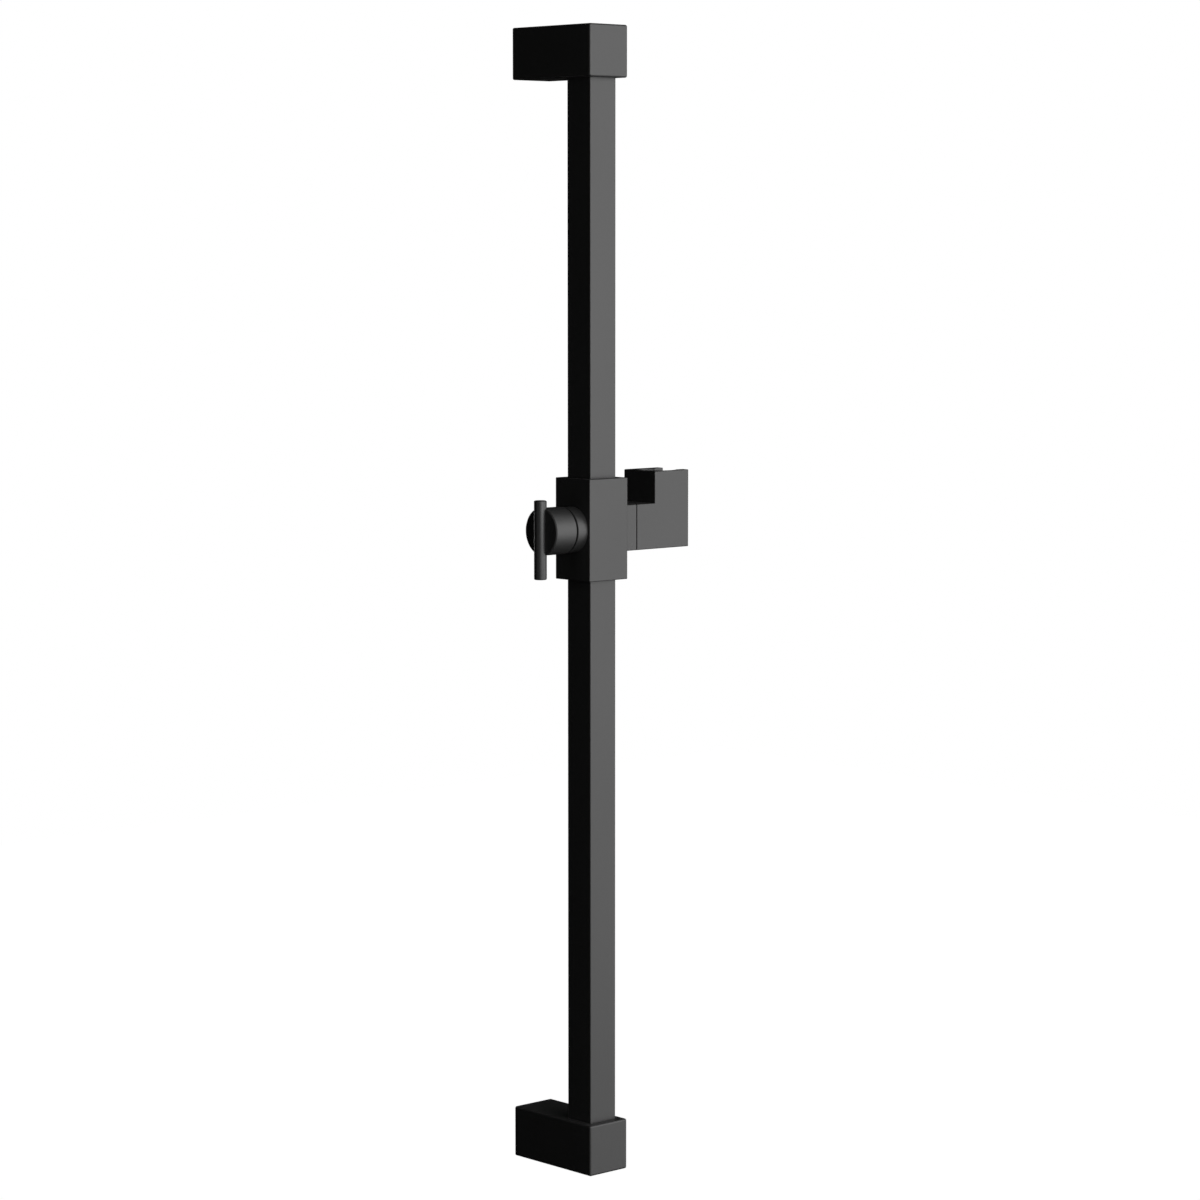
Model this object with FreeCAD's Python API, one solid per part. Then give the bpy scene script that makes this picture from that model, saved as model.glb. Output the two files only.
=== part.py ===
"""Shower slide rail: a square tube on two square wall brackets, with a sliding,
lever-clamped carrier and a tilting holder for a hand shower.

Frame: X to the right along the wall, Y into the wall, Z up. The origin lies on the
wall plane, halfway between the two wall fixings. All sizes are in millimetres.
"""
import FreeCAD, Part
import math
import os

Vector = FreeCAD.Vector
RIGHT = Vector(1, 0, 0)
LEFT = Vector(-1, 0, 0)
INWARD = Vector(0, 1, 0)
OUTWARD = Vector(0, -1, 0)
UP = Vector(0, 0, 1)
DOWN = Vector(0, 0, -1)

# Rail tube
overall_height = 690.0
rail_width = 20.5
rail_wall = 1.5
rail_corner = 0.6

# Wall brackets
bracket_cheek = 4.85
bracket_height = 31.0
bracket_depth = 69.0
bracket_end_wall = 6.0
rail_setback = 5.15
bracket_edge = 1.2
bracket_web = 7.6
socket_clearance = 0.05

# Wall mounts inside the brackets
mount_width = 19.6
mount_height = 20.0
mount_clearance = 0.2
screw_head_room = 10.5
wall_screw_radius = 2.75
wall_screw_head_radius = 5.4
grub_radius = 2.5
grub_from_wall = 13.5
grub_socket = 2.5
grub_socket_depth = 2.4
grub_tip = 0.6
grub_recess = 0.3

# Plugs and screws in the tube's ends
plug_length = 22.0
plug_clearance = 0.05
rail_screw_radius = 2.0
rail_screw_margin = 3.0
rail_screw_offset = 6.2
rail_screw_head_radius = 3.5
rail_screw_head_height = 4.0
rail_screw_socket = 3.0
rail_screw_socket_depth = 2.0

# Fits that screws and pressed pieces share
thread_clearance = 0.02
hole_clearance = 0.25
press_clearance = 0.02
seat_gap = 0.1

# Slider
slider_height = 61.0
slider_wall = 3.55
slider_centre_z = 46.55
slider_edge = 0.5
glide_gap = 0.2
liner_wall = 1.3
liner_length = 18.0
liner_inset = 0.4

# Clamp: plunger, guide and spindle, measured outwards from the rail's face
pad_gap = 0.05
pad_thickness = 2.4
plunger_side = 11.0
plunger_clearance = 0.05
plunger_floor = 1.5
plunger_edge = 0.5
clamp_travel = 0.5
guide_radius = 9.5
guide_counterbore_radius = 8.1
guide_shoulder_room = 0.1
spindle_radius = 3.0
spindle_flange_radius = 7.8
spindle_flange_thickness = 1.5
spindle_tip_room = 0.5
ring_thickness = 0.7
ring_cover = 0.35
ring_groove_depth = 0.65
ring_inner_radius = 6.4
ring_opening_degrees = 50.0

# Clamp knob
collar_radius = 13.7
collar_length = 7.6
collar_edge = 0.3
washer_radius = 10.5
washer_thickness = 1.0
washer_gap = 0.2
knob_radius = 14.2
knob_length = 16.4
knob_edge = 0.6
knob_bore_depth = 11.4
lever_radius = 3.8
lever_above = 18.6
lever_below = 28.5
lever_offset = 0.4
lever_chamfer = 0.8
rod_screw_radius = 1.25
rod_screw_head_radius = 2.4
rod_screw_head_depth = 1.4
rod_screw_bite = 2.6
rod_screw_spacing = 16.0
rod_screw_recess = 0.3

# Holder boss and its screws
boss_side = 27.6
boss_length = 8.5
boss_edge = 0.5
boss_screw_radius = 1.5
boss_screw_head_radius = 2.9
boss_screw_head_depth = 1.6
boss_screw_spacing = 16.0
boss_screw_bite = 6.0
boss_screw_recess = 0.2

# Tilt pivot
pivot_thread_radius = 2.5
pivot_shoulder_radius = 3.0
pivot_clearance = 0.06
pivot_head_radius = 5.5
pivot_head_height = 3.2
pivot_socket = 4.0
pivot_socket_depth = 2.0
friction_washer_radius = 8.8
friction_washer_thickness = 1.4
friction_washer_margin = 0.3
bush_wall = 1.0
bush_length = 7.0
thrust_washer_radius = 6.1
thrust_washer_thickness = 0.8
disc_spring_radius = 5.9
disc_spring_thickness = 0.5
disc_spring_cone = 0.4
pivot_counterbore_radius = 6.7

# Holder
seam_gap = 0.8
arm_length = 14.6
upright_width = 28.0
upright_rise = 19.3
holder_edge = 0.5
cone_top_radius = 11.5
cone_bottom_radius = 10.7
cone_mouth_chamfer = 0.6
slot_width = 18.0

# Places that several pieces share
half_height = overall_height / 2
fixing_z = half_height - bracket_height / 2
rail_screw_z = fixing_z - rail_screw_offset
rail_y = -(bracket_depth - rail_setback - rail_width / 2)
rail_half = rail_width / 2
rail_end_z = half_height - bracket_end_wall
pocket_depth = -rail_y - rail_half - bracket_web
mount_length = pocket_depth - screw_head_room
plug_half = rail_half - rail_wall - plug_clearance
rail_screw_length = -rail_y + plug_half - rail_screw_margin - pocket_depth
bracket_width = rail_width + 2 * bracket_cheek
channel_half = rail_half + glide_gap + liner_wall
slider_half = channel_half + slider_wall
slider_width = 2 * slider_half
slider_centre = Vector(0, rail_y, slider_centre_z)
arm_height = boss_side
holder_depth = boss_side

# Stations of the clamp along -X, from the rail's axis
collar_end = slider_half + collar_length
ring_start = collar_end - ring_cover - ring_thickness
flange_end = ring_start - guide_shoulder_room
flange_start = flange_end - spindle_flange_thickness
guide_shoulder = flange_start - guide_shoulder_room
plunger_start = rail_half + pad_gap + pad_thickness
plunger_end = guide_shoulder - guide_shoulder_room - clamp_travel
plunger_bore_end = plunger_start + plunger_floor
knob_start = collar_end + washer_thickness + washer_gap
knob_end = knob_start + knob_length
lever_centre = knob_end + lever_offset
spindle_start = plunger_bore_end + clamp_travel + spindle_tip_room
spindle_end = knob_start + knob_bore_depth

# Stations of the tilt pivot along +X, from the rail's axis
boss_end = slider_half + boss_length
arm_start = boss_end + seam_gap
arm_end = arm_start + arm_length
upright_end = arm_end + upright_width
cone_x = arm_end + upright_width / 2
bush_start = boss_end + friction_washer_thickness + seat_gap
bush_end = bush_start + bush_length
thrust_start = bush_end + seat_gap
thrust_end = thrust_start + thrust_washer_thickness
spring_pair = 2 * (disc_spring_thickness + disc_spring_cone)
pivot_head_start = thrust_end + spring_pair


def box_between(x_range, y_range, z_range):
    """Plain block between two values on each axis."""
    corner = Vector(x_range[0], y_range[0], z_range[0])
    size = [span[1] - span[0] for span in (x_range, y_range, z_range)]
    return Part.makeBox(size[0], size[1], size[2], corner)


def edge_lies_on(edge, axis, value):
    """True for an edge that lies in the plane axis = value."""
    ends = [getattr(vertex.Point, axis) for vertex in edge.Vertexes]
    return all(abs(end - value) < 1e-6 for end in ends)


def eased(shape, radius, sharp_axis=None, sharp_value=0.0):
    """Round every edge, except those in one plane that meets another piece."""
    edges = [
        edge for edge in shape.Edges
        if sharp_axis is None or not edge_lies_on(edge, sharp_axis, sharp_value)
    ]
    return shape.makeFillet(radius, edges)


def turned(profile, origin, direction):
    """Solid of revolution. The profile gives corners as (distance along, radius)."""
    side = UP if abs(direction.z) < 0.5 else RIGHT
    points = [origin + direction * along + side * radius for along, radius in profile]
    face = Part.Face(Part.makePolygon(points + [points[0]]))
    solid = face.revolve(origin, direction, 360)
    if solid.Volume < 0:
        solid.reverse()
    return solid


def ring(inner, outer, start, end, origin, direction):
    """Flat ring between two radii and two stations along a direction."""
    profile = [(start, inner), (end, inner), (end, outer), (start, outer)]
    return turned(profile, origin, direction)


def drill(radius, start, end, origin, direction):
    """Cylinder between two stations, used to cut a hole."""
    return Part.makeCylinder(radius, end - start, origin + direction * start, direction)


def hexagon(across_flats, start, end, origin, direction):
    """Six-sided prism between two stations, used to cut a driver socket."""
    corner_radius = across_flats / math.sqrt(3)
    side = UP if abs(direction.z) < 0.5 else RIGHT
    other = direction.cross(side)
    centre = origin + direction * start
    points = []
    for step in range(7):
        angle = math.radians(60 * step)
        points.append(centre + side * (corner_radius * math.cos(angle))
                      + other * (corner_radius * math.sin(angle)))
    return Part.Face(Part.makePolygon(points)).extrude(direction * (end - start))


def square_bar(half_width, corner, z_low, z_high, centre_x, centre_y):
    """Upright square bar with rounded corners."""
    bar = box_between((centre_x - half_width, centre_x + half_width),
                      (centre_y - half_width, centre_y + half_width),
                      (z_low, z_high))
    uprights = [edge for edge in bar.Edges
                if abs(edge.Vertexes[0].Z - edge.Vertexes[1].Z) > 1e-6]
    return bar.makeFillet(corner, uprights)


def rail_tube():
    """Square tube with a hole near each end, in its back wall, for the end screws."""
    outside = square_bar(rail_half, rail_corner, -rail_end_z, rail_end_z, 0, rail_y)
    inside_half = rail_half - rail_wall
    inside = square_bar(inside_half, rail_corner / 2, -rail_end_z - 1, rail_end_z + 1,
                        0, rail_y)
    tube = outside.cut(inside)
    hole_radius = rail_screw_radius + hole_clearance
    for side in (-1, 1):
        axis = Vector(0, rail_y, side * rail_screw_z)
        tube = tube.cut(drill(hole_radius, 0, rail_width, axis, INWARD))
    return tube


def bracket(side):
    """Cast block: a pocket for the wall mount and a square socket for the tube."""
    outer_z = side * half_height
    inner_z = side * (half_height - bracket_height)
    z_range = (min(outer_z, inner_z), max(outer_z, inner_z))
    half_width = bracket_width / 2
    block = box_between((-half_width, half_width), (-bracket_depth, 0), z_range)
    block = eased(block, bracket_edge, "y", 0.0)

    pocket_half_width = mount_width / 2 + mount_clearance
    pocket_half_height = mount_height / 2 + mount_clearance
    pocket = box_between(
        (-pocket_half_width, pocket_half_width),
        (-pocket_depth, 1),
        (side * fixing_z - pocket_half_height, side * fixing_z + pocket_half_height))
    block = block.cut(pocket)

    socket_z = (side * rail_end_z, inner_z - side)
    socket = square_bar(rail_half + socket_clearance, rail_corner,
                        min(socket_z), max(socket_z), 0, rail_y)
    block = block.cut(socket)

    axis = Vector(0, rail_y, side * rail_screw_z)
    screw_hole = drill(rail_screw_radius + hole_clearance, 0, -rail_y, axis, INWARD)
    block = block.cut(screw_hole)

    grub_origin = Vector(0, -grub_from_wall, side * fixing_z)
    thread = drill(grub_radius + thread_clearance, 0, bracket_height, grub_origin, DOWN)
    return block.cut(thread)


def wall_mount(side):
    """Block that a wall screw holds, with a dimple for the grub screw's tip."""
    half_width = mount_width / 2
    half_height_of_mount = mount_height / 2
    centre = side * fixing_z
    block = box_between((-half_width, half_width), (-mount_length, 0),
                        (centre - half_height_of_mount, centre + half_height_of_mount))
    sink = wall_screw_head_radius - wall_screw_radius
    hole = turned([(-1, 0), (mount_length + 1, 0),
                   (mount_length + 1, wall_screw_head_radius),
                   (mount_length, wall_screw_head_radius),
                   (mount_length - sink, wall_screw_radius), (-1, wall_screw_radius)],
                  Vector(0, 0, centre), OUTWARD)
    block = block.cut(hole)
    cone_at_face = grub_radius * grub_tip / (grub_tip + mount_clearance)
    dimple_radius = cone_at_face + press_clearance
    dimple = turned([(half_height_of_mount - grub_tip - press_clearance, 0),
                     (half_height_of_mount + 1, 0),
                     (half_height_of_mount + 1, dimple_radius),
                     (half_height_of_mount, dimple_radius)],
                    Vector(0, -grub_from_wall, centre), DOWN)
    return block.cut(dimple)


def grub_screw(side):
    """Socket set screw in the bracket's underside, its cone tip in the dimple."""
    origin = Vector(0, -grub_from_wall, side * fixing_z)
    start = mount_height / 2 - grub_tip
    end = bracket_height / 2 - grub_recess
    body = turned([(start, 0), (start + grub_tip + mount_clearance, grub_radius),
                   (end, grub_radius), (end, 0)], origin, DOWN)
    socket = hexagon(grub_socket, end - grub_socket_depth, end + 1, origin, DOWN)
    return body.cut(socket)


def rail_plug(side):
    """Threaded block inside the tube's end."""
    z_values = (side * rail_end_z, side * (rail_end_z - plug_length))
    plug = square_bar(plug_half, rail_corner / 2, min(z_values), max(z_values), 0, rail_y)
    axis = Vector(0, rail_y, side * rail_screw_z)
    thread = drill(rail_screw_radius + thread_clearance, -rail_width, rail_width, axis,
                   INWARD)
    return plug.cut(thread)


def rail_screw(side):
    """Cap screw from the pocket through the web and the tube into the plug."""
    origin = Vector(0, -pocket_depth, side * rail_screw_z)
    head = rail_screw_head_height
    screw = turned([(-rail_screw_length, 0), (-rail_screw_length, rail_screw_radius),
                    (0, rail_screw_radius), (0, rail_screw_head_radius),
                    (head, rail_screw_head_radius), (head, 0)], origin, INWARD)
    socket = hexagon(rail_screw_socket, head - rail_screw_socket_depth, head + 1, origin,
                     INWARD)
    return screw.cut(socket)


def slider_body():
    """Square sleeve with the guide's bore on its left and screw holes on its right."""
    half_height_of_slider = slider_height / 2
    block = box_between((-slider_half, slider_half),
                        (rail_y - slider_half, rail_y + slider_half),
                        (slider_centre_z - half_height_of_slider,
                         slider_centre_z + half_height_of_slider))
    block = eased(block, slider_edge)
    channel = box_between((-channel_half, channel_half),
                          (rail_y - channel_half, rail_y + channel_half),
                          (slider_centre_z - slider_height, slider_centre_z + slider_height))
    block = block.cut(channel)
    block = block.cut(drill(guide_radius + press_clearance, 0, slider_width,
                            slider_centre, LEFT))
    block = block.cut(drill(pivot_thread_radius + thread_clearance, 0, slider_width,
                            slider_centre, RIGHT))
    for axis in boss_screw_axes():
        cut = turned([(0, 0), (0, boss_screw_head_radius),
                      (channel_half + boss_screw_recess, boss_screw_head_radius),
                      (channel_half + boss_screw_recess + boss_screw_head_depth,
                       boss_screw_radius + thread_clearance),
                      (slider_width, boss_screw_radius + thread_clearance),
                      (slider_width, 0)], axis, RIGHT)
        block = block.cut(cut)
    return block


def glide_liner(side):
    """Plastic sleeve between the slider and the rail, one at each end."""
    outer_z = slider_centre_z + side * (slider_height / 2 - liner_inset)
    inner_z = outer_z - side * liner_length
    z_range = (min(outer_z, inner_z), max(outer_z, inner_z))
    outer_half = channel_half - press_clearance
    outside = square_bar(outer_half, press_clearance * 5, z_range[0], z_range[1], 0, rail_y)
    inside = square_bar(rail_half + glide_gap, rail_corner / 2, z_range[0] - 1,
                        z_range[1] + 1, 0, rail_y)
    return outside.cut(inside)


def boss_screw_axes():
    """Points on the rail's centre plane where the boss screws' axes start."""
    return [slider_centre + UP * (side * boss_screw_spacing / 2) for side in (-1, 1)]


def knob_collar():
    """Round ring on the slider's left face, behind the knob."""
    inner = guide_radius + press_clearance
    profile = [(slider_half, inner), (collar_end, inner),
               (collar_end, collar_radius - collar_edge),
               (collar_end - collar_edge, collar_radius), (slider_half, collar_radius)]
    return turned(profile, slider_centre, LEFT)


def clamp_guide():
    """Bush pressed through the slider's wall: a square bore for the plunger, then a
    counterbore with a groove for the spindle's flange and its retaining ring."""
    bush = drill(guide_radius, channel_half, collar_end, slider_centre, LEFT)
    bore_half = plunger_side / 2 + plunger_clearance
    bore = box_between((-collar_end, -channel_half + 1),
                       (rail_y - bore_half, rail_y + bore_half),
                       (slider_centre_z - bore_half, slider_centre_z + bore_half))
    bush = bush.cut(bore.common(drill(guide_radius, 0, guide_shoulder, slider_centre, LEFT)))
    groove_radius = guide_counterbore_radius + ring_groove_depth
    groove_end = ring_start + ring_thickness + press_clearance
    counterbore = turned([(guide_shoulder, 0), (guide_shoulder, guide_counterbore_radius),
                          (ring_start - press_clearance, guide_counterbore_radius),
                          (ring_start - press_clearance, groove_radius),
                          (groove_end, groove_radius),
                          (groove_end, guide_counterbore_radius),
                          (collar_end + 1, guide_counterbore_radius),
                          (collar_end + 1, 0)], slider_centre, LEFT)
    return bush.cut(counterbore)


def retaining_ring():
    """Open snap ring in the guide's groove."""
    outer = guide_counterbore_radius + ring_groove_depth - press_clearance
    body = ring(ring_inner_radius, outer, ring_start, ring_start + ring_thickness,
                slider_centre, LEFT)
    half_angle = math.radians(ring_opening_degrees / 2)
    reach = 2 * outer
    apex = slider_centre + LEFT * (ring_start - 1)
    corners = [apex,
               apex + Vector(0, reach * math.sin(half_angle), reach * math.cos(half_angle)),
               apex + Vector(0, -reach * math.sin(half_angle), reach * math.cos(half_angle))]
    wedge = Part.Face(Part.makePolygon(corners + [apex]))
    return body.cut(wedge.extrude(LEFT * (ring_thickness + 2)))


def knob_washer():
    """Thrust washer in the dark groove between the collar and the knob."""
    return ring(spindle_radius + hole_clearance, washer_radius, collar_end,
                collar_end + washer_thickness, slider_centre, LEFT)


def holder_boss():
    """Square boss on the slider's right face."""
    half = boss_side / 2
    block = box_between((slider_half, boss_end), (rail_y - half, rail_y + half),
                        (slider_centre_z - half, slider_centre_z + half))
    long_edges = [edge for edge in block.Edges
                  if abs(edge.Vertexes[0].X - edge.Vertexes[1].X) > 1e-6]
    block = block.makeFillet(boss_edge, long_edges)
    block = block.cut(drill(pivot_thread_radius + thread_clearance, 0, boss_end + 1,
                            slider_centre, RIGHT))
    for axis in boss_screw_axes():
        block = block.cut(drill(boss_screw_radius + thread_clearance, 0,
                                slider_half + boss_screw_bite + 1, axis, RIGHT))
    return block


def boss_screws():
    """Two countersunk screws from the channel into the boss."""
    start = channel_half + boss_screw_recess
    profile = [(start, 0), (start, boss_screw_head_radius - press_clearance),
               (start + boss_screw_head_depth, boss_screw_radius),
               (slider_half + boss_screw_bite, boss_screw_radius),
               (slider_half + boss_screw_bite, 0)]
    return Part.makeCompound([turned(profile, axis, RIGHT) for axis in boss_screw_axes()])


def pivot_screw():
    """Shoulder screw: its shoulder stands on the boss and carries the holder's arm."""
    head_end = pivot_head_start + pivot_head_height
    thread_start = channel_half + boss_screw_recess
    screw = turned([(thread_start, 0), (thread_start, pivot_thread_radius),
                    (boss_end, pivot_thread_radius), (boss_end, pivot_shoulder_radius),
                    (pivot_head_start, pivot_shoulder_radius),
                    (pivot_head_start, pivot_head_radius),
                    (head_end, pivot_head_radius), (head_end, 0)], slider_centre, RIGHT)
    socket = hexagon(pivot_socket, head_end - pivot_socket_depth, head_end + 1,
                     slider_centre, RIGHT)
    return screw.cut(socket)


def friction_washer():
    """Plastic washer between the boss and the arm, sunk in the arm's face."""
    return ring(pivot_shoulder_radius + pivot_clearance, friction_washer_radius, boss_end,
                boss_end + friction_washer_thickness, slider_centre, RIGHT)


def thrust_washer():
    """Steel washer under the disc springs."""
    return ring(pivot_shoulder_radius + pivot_clearance, thrust_washer_radius,
                thrust_start, thrust_end, slider_centre, RIGHT)


def disc_springs():
    """Two coned spring washers, set against each other under the screw's head."""
    inner = pivot_shoulder_radius + pivot_clearance
    outer = disc_spring_radius
    thickness = disc_spring_thickness
    cone = disc_spring_cone
    first = turned([(thrust_end + cone, inner), (thrust_end + cone + thickness, inner),
                    (thrust_end + thickness, outer), (thrust_end, outer)],
                   slider_centre, RIGHT)
    middle = thrust_end + cone + thickness
    second = turned([(middle, inner), (middle + thickness, inner),
                     (middle + thickness + cone, outer), (middle + cone, outer)],
                    slider_centre, RIGHT)
    return Part.makeCompound([first, second])


def clamp_plunger():
    """Square plunger with a threaded blind bore that the spindle drives."""
    half = plunger_side / 2
    block = box_between((-plunger_end, -plunger_start), (rail_y - half, rail_y + half),
                        (slider_centre_z - half, slider_centre_z + half))
    long_edges = [edge for edge in block.Edges
                  if abs(edge.Vertexes[0].X - edge.Vertexes[1].X) > 1e-6]
    block = block.makeChamfer(plunger_edge, long_edges)
    bore = drill(spindle_radius + thread_clearance, plunger_bore_end, plunger_end + 1,
                 slider_centre, LEFT)
    return block.cut(bore)


def brake_pad():
    """Pad on the plunger's tip that grips the rail."""
    half = plunger_side / 2 - plunger_edge
    return box_between((-plunger_start, -plunger_start + pad_thickness),
                       (rail_y - half, rail_y + half),
                       (slider_centre_z - half, slider_centre_z + half))


def clamp_spindle():
    """Threaded spindle, turned by the knob and held endwise by its flange."""
    return turned([(spindle_start, 0), (spindle_start, spindle_radius),
                   (flange_start, spindle_radius), (flange_start, spindle_flange_radius),
                   (flange_end, spindle_flange_radius), (flange_end, spindle_radius),
                   (spindle_end, spindle_radius), (spindle_end, 0)], slider_centre, LEFT)


def rod_screw_axes():
    """Points where the axes of the lever's two screws start."""
    return [slider_centre + UP * (side * rod_screw_spacing / 2) for side in (-1, 1)]


def lever_solid(radius, above, below):
    """Upright rod across the knob's end, longer below the knob's axis."""
    foot = slider_centre + LEFT * lever_centre + DOWN * below
    return Part.makeCylinder(radius, above + below, foot, UP)


def knob_head():
    """Turned knob with a half-round groove across its end for the lever rod."""
    profile = [(knob_start, 0), (knob_start, knob_radius - knob_edge),
               (knob_start + knob_edge, knob_radius), (knob_end - knob_edge, knob_radius),
               (knob_end, knob_radius - knob_edge), (knob_end, 0)]
    head = turned(profile, slider_centre, LEFT)
    head = head.cut(drill(spindle_radius + thread_clearance, knob_start - 1,
                          spindle_end + press_clearance, slider_centre, LEFT))
    groove = lever_solid(lever_radius + press_clearance, knob_radius + 1, knob_radius + 1)
    head = head.cut(groove)
    for axis in rod_screw_axes():
        sink_start = knob_start + rod_screw_recess
        cut = turned([(knob_start - 1, 0), (knob_start - 1, rod_screw_head_radius),
                      (sink_start, rod_screw_head_radius),
                      (sink_start + rod_screw_head_depth,
                       rod_screw_radius + thread_clearance),
                      (knob_end + 1, rod_screw_radius + thread_clearance),
                      (knob_end + 1, 0)], axis, LEFT)
        head = head.cut(cut)
    return head


def lever_rod():
    """Lever rod with chamfered ends and two threaded holes."""
    rod = lever_solid(lever_radius, lever_above, lever_below)
    ends = [edge for edge in rod.Edges if len(edge.Vertexes) == 1]
    rod = rod.makeChamfer(lever_chamfer, ends)
    bite_end = lever_centre - lever_radius + rod_screw_bite + press_clearance
    for axis in rod_screw_axes():
        rod = rod.cut(drill(rod_screw_radius + thread_clearance, knob_start, bite_end, axis,
                            LEFT))
    return rod


def rod_screws():
    """Two countersunk screws from the back of the knob into the lever rod."""
    start = knob_start + rod_screw_recess
    end = lever_centre - lever_radius + rod_screw_bite
    profile = [(start, 0), (start, rod_screw_head_radius - press_clearance),
               (start + rod_screw_head_depth, rod_screw_radius), (end, rod_screw_radius),
               (end, 0)]
    return Part.makeCompound([turned(profile, axis, LEFT) for axis in rod_screw_axes()])


def holder_body():
    """L-shaped holder: a low arm on the pivot and a taller upright with a tapered
    hole for the hand shower, open to the right by a slot for the hose."""
    bottom = slider_centre_z - arm_height / 2
    arm_top = slider_centre_z + arm_height / 2
    upright_top = arm_top + upright_rise
    front = rail_y - holder_depth / 2
    outline = [(arm_start, bottom), (upright_end, bottom), (upright_end, upright_top),
               (arm_end, upright_top), (arm_end, arm_top), (arm_start, arm_top)]
    points = [Vector(x, front, z) for x, z in outline]
    profile = Part.Face(Part.makePolygon(points + [points[0]]))
    body = profile.extrude(INWARD * holder_depth)
    inner_corner = [edge for edge in body.Edges
                    if edge_lies_on(edge, "x", arm_end) and edge_lies_on(edge, "z", arm_top)]
    outer_edges = [edge for edge in body.Edges
                   if not edge_lies_on(edge, "x", arm_start)
                   and not any(edge.isSame(other) for other in inner_corner)]
    body = body.makeFillet(holder_edge, outer_edges)

    cone_height = upright_top - bottom
    hole_foot = Vector(cone_x, rail_y, bottom)
    chamfer = cone_mouth_chamfer
    hole = turned([(-1, 0), (cone_height + 1, 0),
                   (cone_height + 1, cone_top_radius + chamfer),
                   (cone_height, cone_top_radius + chamfer),
                   (cone_height - chamfer, cone_top_radius),
                   (0, cone_bottom_radius), (-1, cone_bottom_radius)], hole_foot, UP)
    body = body.cut(hole)
    slot = box_between((cone_x, upright_end + 1),
                       (rail_y - slot_width / 2, rail_y + slot_width / 2),
                       (bottom - 1, upright_top + 1))
    body = body.cut(slot)

    recess_radius = friction_washer_radius + friction_washer_margin
    body = body.cut(drill(recess_radius, 0, bush_start, slider_centre, RIGHT))
    bush_radius = pivot_shoulder_radius + pivot_clearance + bush_wall + press_clearance
    body = body.cut(drill(bush_radius, 0, bush_end, slider_centre, RIGHT))
    return body.cut(drill(pivot_counterbore_radius, bush_end, cone_x, slider_centre, RIGHT))


def pivot_bush():
    """Bearing bush pressed into the arm, running on the pivot screw's shoulder."""
    inner = pivot_shoulder_radius + pivot_clearance
    return ring(inner, inner + bush_wall, bush_start, bush_end, slider_centre, RIGHT)


def all_parts():
    """Every piece by its name."""
    parts = {"rail_tube": rail_tube()}
    for name, side in (("upper", 1), ("lower", -1)):
        parts[name + "_bracket"] = bracket(side)
        parts[name + "_wall_mount"] = wall_mount(side)
        parts[name + "_grub_screw"] = grub_screw(side)
        parts[name + "_rail_plug"] = rail_plug(side)
        parts[name + "_rail_screw"] = rail_screw(side)
        parts[name + "_glide_liner"] = glide_liner(side)
    for make in (slider_body, knob_collar, clamp_guide, retaining_ring, knob_washer,
                 holder_boss, boss_screws, pivot_screw, friction_washer, thrust_washer,
                 disc_springs, clamp_plunger, brake_pad, clamp_spindle, knob_head,
                 lever_rod, rod_screws, holder_body, pivot_bush):
        parts[make.__name__] = make()
    return parts


def main():
    """Write each piece to its own file."""
    os.makedirs("parts", exist_ok=True)
    for name, shape in all_parts().items():
        shape.exportStep(os.path.join("parts", name + ".step"))


main()
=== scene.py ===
"""Dresses the shower slide rail: finishes for every solid, threaded screws, a ribbed
brake pad and a turned lever, and a plain studio with the camera and the lamps.
Lengths are in metres."""
import math

import bmesh
import bpy
from bpy.props import FloatProperty, FloatVectorProperty, IntProperty, PointerProperty
from mathutils import Matrix, Vector


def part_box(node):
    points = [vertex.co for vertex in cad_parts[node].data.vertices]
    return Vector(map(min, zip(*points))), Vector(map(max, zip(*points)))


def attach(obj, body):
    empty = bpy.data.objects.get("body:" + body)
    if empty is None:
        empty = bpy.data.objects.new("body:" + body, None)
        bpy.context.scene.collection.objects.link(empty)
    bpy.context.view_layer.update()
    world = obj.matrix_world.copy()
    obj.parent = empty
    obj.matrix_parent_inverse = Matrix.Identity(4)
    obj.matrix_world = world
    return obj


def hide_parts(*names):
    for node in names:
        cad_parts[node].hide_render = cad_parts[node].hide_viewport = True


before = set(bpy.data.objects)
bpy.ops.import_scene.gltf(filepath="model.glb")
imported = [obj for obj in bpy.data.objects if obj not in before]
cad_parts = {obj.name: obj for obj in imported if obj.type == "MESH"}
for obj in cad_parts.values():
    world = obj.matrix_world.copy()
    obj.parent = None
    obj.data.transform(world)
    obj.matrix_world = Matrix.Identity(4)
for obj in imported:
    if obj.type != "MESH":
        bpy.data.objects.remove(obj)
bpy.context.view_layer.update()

bl_info = {
    "name": "Shower Slide Rail",
    "version": (1, 0, 0),
    "blender": (4, 5, 0),
    "location": "3D View > Sidebar > Slide Rail",
    "description": "Builds the finishes, screws and studio of a shower slide rail",
    "category": "Object",
}

MM = 0.001
UP = Vector((0, 0, 1))
DOWN = Vector((0, 0, -1))
LEFT = Vector((-1, 0, 0))
RIGHT = Vector((1, 0, 0))
TO_WALL = Vector((0, 1, 0))
WHITE = (1, 1, 1, 1)

# Parts of a thread's pitch: from its crests down to its core, and from the middle of a
# tooth to the tooth's corners.
THREAD_DEPTH = 0.56
TOOTH_REACH = 0.42

# Sockets of a Mix node that mixes colours: its two colours and its result.
FIRST_COLOUR = 6
SECOND_COLOUR = 7
MIXED_COLOUR = 2

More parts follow.
